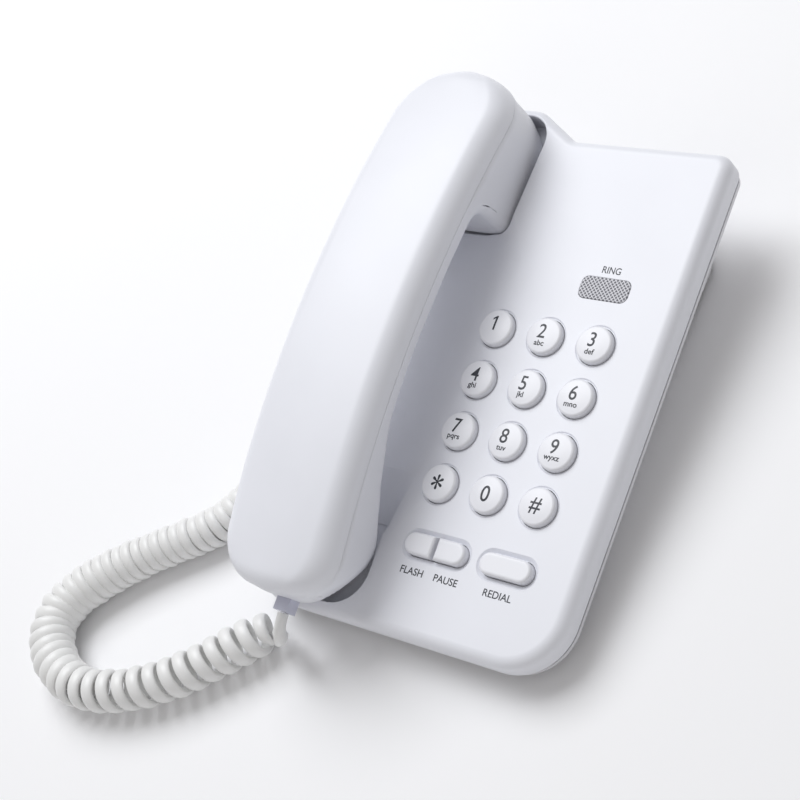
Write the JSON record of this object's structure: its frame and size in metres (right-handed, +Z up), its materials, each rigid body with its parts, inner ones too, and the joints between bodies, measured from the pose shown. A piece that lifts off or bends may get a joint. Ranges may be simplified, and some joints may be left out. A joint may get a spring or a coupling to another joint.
{
  "type": "corded landline phone",
  "caption": "White corded desk telephone: sloping base with round push keys and a ring lamp, arched handset in its cradle, curly cord looping on the table.",
  "frame": {"origin": "middle of the telephone's footprint without its cord, on the table under the feet", "axes": "+X to the user's right, +Y away from the user, +Z up; the keypad panel slopes up to the back by 8 degrees"},
  "size_m": [0.2228, 0.2593, 0.0714],
  "materials": {
    "white_plastic": "satin moulded plastic",
    "base_plastic": "satin moulded plastic, finely grained",
    "key_plastic": "smooth satin plastic",
    "lens_plastic": "clear plastic, cross-cut on its inside",
    "lamp_plastic": "clear tinted plastic",
    "cord_plastic": "smooth soft plastic",
    "plug_plastic": "clear plastic",
    "jack_plastic": "moulded plastic",
    "knob_plastic": "moulded plastic",
    "component_plastic": "moulded plastic",
    "circuit_board": "lacquered board",
    "dome_rubber": "soft rubber",
    "foot_rubber": "soft rubber",
    "screw_steel": "zinc plated",
    "ballast_iron": "bare",
    "capsule_aluminium": "bare"
  },
  "bodies": {
    "base": {"upper_housing": "white_plastic", "lower_housing": "base_plastic", "rubber_feet": "foot_rubber", "housing_screws": "screw_steel", "keypad_board": "circuit_board", "keypad_mat": "dome_rubber", "ring_lens": "lens_plastic", "ring_led": "lamp_plastic", "main_board": "circuit_board", "board_components": "component_plastic", "line_jack": "jack_plastic", "slide_switches": "component_plastic", "ringer": "component_plastic", "ballast_weight": "ballast_iron", "hook_switch": "component_plastic", "base_cord_jack": "jack_plastic", "base_plug": "plug_plastic", "curly_cord": "cord_plastic", "front_tail": "cord_plastic", "left_tail": "cord_plastic"},
    "handset": {"handset_outer_shell": "white_plastic", "handset_inner_shell": "white_plastic", "receiver_capsule": "capsule_aluminium", "microphone_capsule": "capsule_aluminium", "microphone_boot": "dome_rubber", "handset_weight": "ballast_iron", "handset_jack": "jack_plastic", "handset_screws": "screw_steel", "handset_plug": "plug_plastic"},
    "key_1_body": {"key_1": "key_plastic"},
    "key_2_body": {"key_2": "key_plastic"},
    "key_3_body": {"key_3": "key_plastic"},
    "key_4_body": {"key_4": "key_plastic"},
    "key_5_body": {"key_5": "key_plastic"},
    "key_6_body": {"key_6": "key_plastic"},
    "key_7_body": {"key_7": "key_plastic"},
    "key_8_body": {"key_8": "key_plastic"},
    "key_9_body": {"key_9": "key_plastic"},
    "key_star_body": {"key_star": "key_plastic"},
    "key_0_body": {"key_0": "key_plastic"},
    "key_hash_body": {"key_hash": "key_plastic"},
    "key_flash_body": {"key_flash": "key_plastic"},
    "key_pause_body": {"key_pause": "key_plastic"},
    "key_redial_body": {"key_redial": "key_plastic"},
    "tone_knob": {"tone_switch_knob": "knob_plastic"},
    "ringer_knob": {"ringer_switch_knob": "knob_plastic"},
    "hook_button": {"hook_plunger": "key_plastic"}
  },
  "joints": [
    {"name": "handset_lift", "type": "slide", "parent": "base", "child": "handset", "axis": [0, -0.1392, 0.9903], "range_m": [0, 0.06]},
    {"name": "hook_press", "type": "slide", "parent": "base", "child": "hook_button", "axis": [0, -0.1392, 0.9903], "range_m": [0, 0.003]},
    {"name": "key_1_press", "type": "slide", "parent": "base", "child": "key_1_body", "axis": [0, -0.1392, 0.9903], "range_m": [-0.0015, 0], "stiffness_N_per_m": 600},
    {"name": "key_2_press", "type": "slide", "parent": "base", "child": "key_2_body", "axis": [0, -0.1392, 0.9903], "range_m": [-0.0015, 0], "stiffness_N_per_m": 600},
    {"name": "key_3_press", "type": "slide", "parent": "base", "child": "key_3_body", "axis": [0, -0.1392, 0.9903], "range_m": [-0.0015, 0], "stiffness_N_per_m": 600},
    {"name": "key_4_press", "type": "slide", "parent": "base", "child": "key_4_body", "axis": [0, -0.1392, 0.9903], "range_m": [-0.0015, 0], "stiffness_N_per_m": 600},
    {"name": "key_5_press", "type": "slide", "parent": "base", "child": "key_5_body", "axis": [0, -0.1392, 0.9903], "range_m": [-0.0015, 0], "stiffness_N_per_m": 600},
    {"name": "key_6_press", "type": "slide", "parent": "base", "child": "key_6_body", "axis": [0, -0.1392, 0.9903], "range_m": [-0.0015, 0], "stiffness_N_per_m": 600},
    {"name": "key_7_press", "type": "slide", "parent": "base", "child": "key_7_body", "axis": [0, -0.1392, 0.9903], "range_m": [-0.0015, 0], "stiffness_N_per_m": 600},
    {"name": "key_8_press", "type": "slide", "parent": "base", "child": "key_8_body", "axis": [0, -0.1392, 0.9903], "range_m": [-0.0015, 0], "stiffness_N_per_m": 600},
    {"name": "key_9_press", "type": "slide", "parent": "base", "child": "key_9_body", "axis": [0, -0.1392, 0.9903], "range_m": [-0.0015, 0], "stiffness_N_per_m": 600},
    {"name": "key_star_press", "type": "slide", "parent": "base", "child": "key_star_body", "axis": [0, -0.1392, 0.9903], "range_m": [-0.0015, 0], "stiffness_N_per_m": 600},
    {"name": "key_0_press", "type": "slide", "parent": "base", "child": "key_0_body", "axis": [0, -0.1392, 0.9903], "range_m": [-0.0015, 0], "stiffness_N_per_m": 600},
    {"name": "key_hash_press", "type": "slide", "parent": "base", "child": "key_hash_body", "axis": [0, -0.1392, 0.9903], "range_m": [-0.0015, 0], "stiffness_N_per_m": 600},
    {"name": "key_flash_press", "type": "slide", "parent": "base", "child": "key_flash_body", "axis": [0, -0.1392, 0.9903], "range_m": [-0.0015, 0], "stiffness_N_per_m": 600},
    {"name": "key_pause_press", "type": "slide", "parent": "base", "child": "key_pause_body", "axis": [0, -0.1392, 0.9903], "range_m": [-0.0015, 0], "stiffness_N_per_m": 600},
    {"name": "key_redial_press", "type": "slide", "parent": "base", "child": "key_redial_body", "axis": [0, -0.1392, 0.9903], "range_m": [-0.0015, 0], "stiffness_N_per_m": 600},
    {"name": "tone_switch_slide", "type": "slide", "parent": "base", "child": "tone_knob", "axis": [1, 0, 0], "range_m": [0, 0.003]},
    {"name": "ringer_switch_slide", "type": "slide", "parent": "base", "child": "ringer_knob", "axis": [1, 0, 0], "range_m": [0, 0.003]}
  ],
  "couplings": [
    {"joint": "hook_press", "follows": "handset_lift", "ratio": 0.05}
  ]
}
